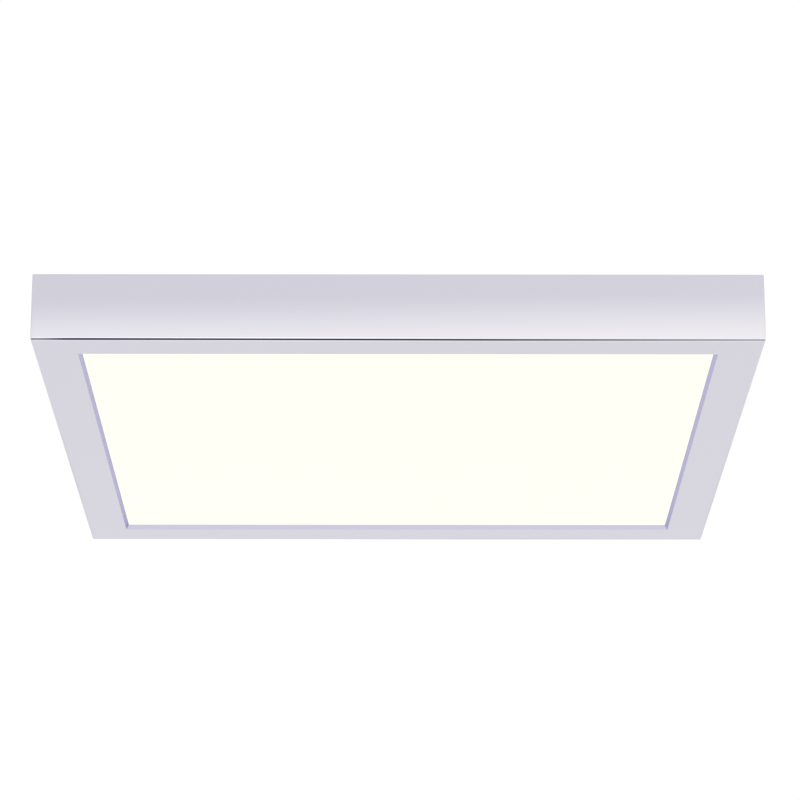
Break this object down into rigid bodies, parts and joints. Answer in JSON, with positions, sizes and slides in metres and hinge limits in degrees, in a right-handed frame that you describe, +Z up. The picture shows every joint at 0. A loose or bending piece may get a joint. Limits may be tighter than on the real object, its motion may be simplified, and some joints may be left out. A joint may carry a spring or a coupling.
{
  "type": "flush mount ceiling light",
  "caption": "Square, low LED ceiling light: a folded metal frame round a flat diffuser, pushed up onto a ceiling bracket where leaf springs hold it.",
  "frame": {"origin": "centre of the ceiling plane, on the top face of the mounting bracket, between its two slots for the box screws", "axes": "+Z up into the ceiling, so the light hangs below z = 0; -Y is the wall nearest the camera, and +X is to its right; the bracket lies along X"},
  "size_m": [0.381, 0.381, 0.036],
  "materials": {
    "back_pan": "satin",
    "bezel_frame": "polished",
    "bracket_ground_screw": null,
    "button_earth": "satin",
    "button_line": "satin",
    "button_neutral": "satin",
    "diffuser": "satin",
    "driver_base": "satin",
    "driver_capacitors": "satin",
    "driver_chips": "satin",
    "driver_choke": "satin",
    "driver_circuit": "satin",
    "driver_cover": "satin",
    "driver_inlets": "satin",
    "driver_screws": null,
    "earth_nut": null,
    "earth_ring": null,
    "earth_stud": null,
    "earth_washer": null,
    "foam_strips": "matte",
    "grommets": "matte",
    "guide_spacers": "matte",
    "leaf_spring": "satin",
    "led_board": "satin",
    "led_cable": "satin",
    "led_connectors": "satin",
    "leds": "satin",
    "light_guide": "gloss",
    "mounting_bracket": "satin",
    "pan_screws": null,
    "rail": "satin",
    "rail_nuts": null,
    "rail_studs": null,
    "reflector_film": "satin",
    "spring_screws": null,
    "terminal_block": "satin",
    "terminal_contacts": null,
    "thermal_tape": "matte",
    "transformer_coil": "gloss",
    "transformer_core": "matte",
    "wire_clips": "satin",
    "wire_earth": "satin",
    "wire_line": "satin",
    "wire_neutral": "satin"
  },
  "bodies": {
    "bracket": {"mounting_bracket": "mounting_bracket", "bracket_ground_screw": "bracket_ground_screw"},
    "light": {"back_pan": "back_pan", "bezel_frame": "bezel_frame", "diffuser": "diffuser", "driver_base": "driver_base", "driver_capacitors": "driver_capacitors", "driver_chips": "driver_chips", "driver_choke": "driver_choke", "driver_circuit": "driver_circuit", "driver_cover": "driver_cover", "driver_inlets": "driver_inlets", "driver_screws": "driver_screws", "earth_nut": "earth_nut", "earth_ring": "earth_ring", "earth_stud": "earth_stud", "earth_washer": "earth_washer", "foam_strips": "foam_strips", "grommets": "grommets", "guide_spacers": "guide_spacers", "leaf_spring_left": "leaf_spring", "leaf_spring_right": "leaf_spring", "led_board_left": "led_board", "led_board_right": "led_board", "led_cable_left": "led_cable", "led_cable_right": "led_cable", "led_connectors": "led_connectors", "leds_left": "leds", "leds_right": "leds", "light_guide": "light_guide", "pan_flanges": "back_pan", "pan_screws": "pan_screws", "rail_back": "rail", "rail_front": "rail", "rail_left": "rail", "rail_nuts": "rail_nuts", "rail_right": "rail", "rail_studs": "rail_studs", "reflector_film": "reflector_film", "spring_screws": "spring_screws", "terminal_block": "terminal_block", "terminal_contacts": "terminal_contacts", "thermal_tape_left": "thermal_tape", "thermal_tape_right": "thermal_tape", "transformer_coil": "transformer_coil", "transformer_core": "transformer_core", "wire_clips": "wire_clips", "wire_earth": "wire_earth", "wire_line": "wire_line", "wire_neutral": "wire_neutral"},
    "button_line": {"button_line": "button_line"},
    "button_neutral": {"button_neutral": "button_neutral"},
    "button_earth": {"button_earth": "button_earth"}
  },
  "joints": [
    {"name": "body_drop", "type": "slide", "parent": "bracket", "child": "light", "axis": [0, 0, -1], "range_m": [0, 0.06], "deforming": ["leaf_spring_left", "leaf_spring_right"]},
    {"name": "button_line_press", "type": "slide", "parent": "light", "child": "button_line", "axis": [0, 0, -1], "range_m": [0, 0.0015], "stiffness_N_per_m": 800},
    {"name": "button_neutral_press", "type": "slide", "parent": "light", "child": "button_neutral", "axis": [0, 0, -1], "range_m": [0, 0.0015], "stiffness_N_per_m": 800},
    {"name": "button_earth_press", "type": "slide", "parent": "light", "child": "button_earth", "axis": [0, 0, -1], "range_m": [0, 0.0015], "stiffness_N_per_m": 800}
  ]
}
